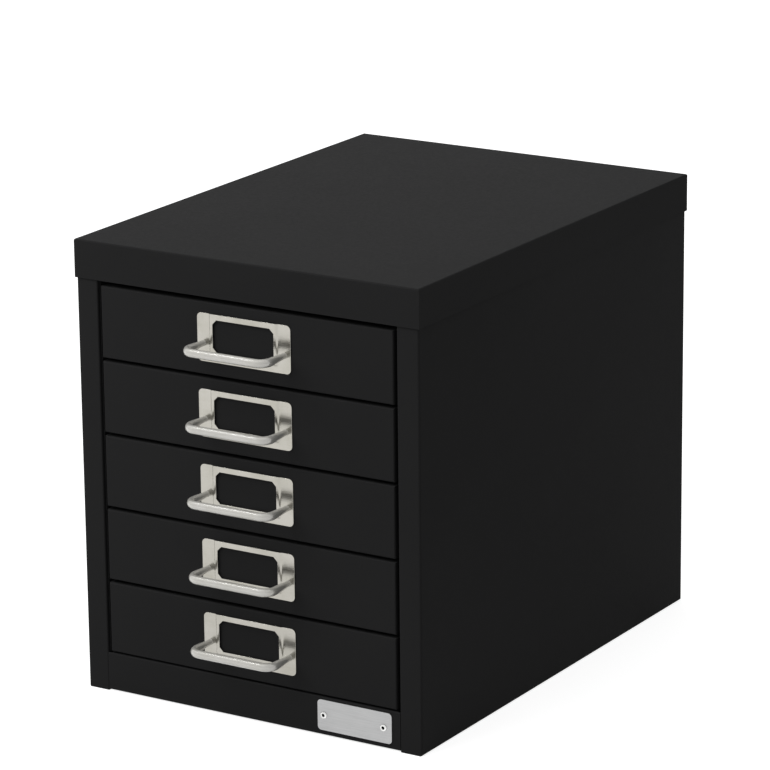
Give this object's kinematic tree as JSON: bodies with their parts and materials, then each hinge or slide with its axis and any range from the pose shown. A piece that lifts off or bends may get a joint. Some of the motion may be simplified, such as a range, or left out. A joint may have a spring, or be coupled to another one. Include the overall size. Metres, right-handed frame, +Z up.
{
  "type": "desktop drawer unit",
  "caption": "Black sheet-steel desktop drawer unit with equal shallow drawers on channel runners, each with a label-holder plate and a bent wire pull",
  "frame": {"origin": "centre of the standing face, which is the underside of the floor pan, midway across and midway along the lid", "axes": "+X to the right as seen from the front, +Y to the back, +Z up; the drawers open along -Y"},
  "size_m": [0.28, 0.4077, 0.33],
  "materials": {
    "black_coated_steel": "fine-textured satin black powder coat",
    "nickel_plated_steel": "bright nickel plate",
    "brushed_plate": "fine brushed, bare",
    "bright_rivet": "bright plated"
  },
  "bodies": {
    "carcass": {"top_lid": "black_coated_steel", "left_side_panel": "black_coated_steel", "right_side_panel": "black_coated_steel", "back_panel": "black_coated_steel", "base_pan": "black_coated_steel", "bottom_rail": "black_coated_steel", "front_top_rail": "black_coated_steel", "left_liner": "black_coated_steel", "right_liner": "black_coated_steel", "left_runner_1": "black_coated_steel", "right_runner_1": "black_coated_steel", "left_runner_2": "black_coated_steel", "right_runner_2": "black_coated_steel", "left_runner_3": "black_coated_steel", "right_runner_3": "black_coated_steel", "left_runner_4": "black_coated_steel", "right_runner_4": "black_coated_steel", "left_runner_5": "black_coated_steel", "right_runner_5": "black_coated_steel", "name_plate": "brushed_plate", "name_plate_rivets": "bright_rivet"},
    "drawer_1": {"drawer_tray_1": "black_coated_steel", "drawer_front_1": "black_coated_steel", "handle_plate_1": "nickel_plated_steel", "handle_bow_1": "nickel_plated_steel"},
    "drawer_2": {"drawer_tray_2": "black_coated_steel", "drawer_front_2": "black_coated_steel", "handle_plate_2": "nickel_plated_steel", "handle_bow_2": "nickel_plated_steel"},
    "drawer_3": {"drawer_tray_3": "black_coated_steel", "drawer_front_3": "black_coated_steel", "handle_plate_3": "nickel_plated_steel", "handle_bow_3": "nickel_plated_steel"},
    "drawer_4": {"drawer_tray_4": "black_coated_steel", "drawer_front_4": "black_coated_steel", "handle_plate_4": "nickel_plated_steel", "handle_bow_4": "nickel_plated_steel"},
    "drawer_5": {"drawer_tray_5": "black_coated_steel", "drawer_front_5": "black_coated_steel", "handle_plate_5": "nickel_plated_steel", "handle_bow_5": "nickel_plated_steel"}
  },
  "joints": [
    {"name": "drawer_1_slide", "type": "slide", "parent": "carcass", "child": "drawer_1", "axis": [0, -1, 0], "range_m": [0, 0.3]},
    {"name": "drawer_2_slide", "type": "slide", "parent": "carcass", "child": "drawer_2", "axis": [0, -1, 0], "range_m": [0, 0.3]},
    {"name": "drawer_3_slide", "type": "slide", "parent": "carcass", "child": "drawer_3", "axis": [0, -1, 0], "range_m": [0, 0.3]},
    {"name": "drawer_4_slide", "type": "slide", "parent": "carcass", "child": "drawer_4", "axis": [0, -1, 0], "range_m": [0, 0.3]},
    {"name": "drawer_5_slide", "type": "slide", "parent": "carcass", "child": "drawer_5", "axis": [0, -1, 0], "range_m": [0, 0.3]}
  ]
}
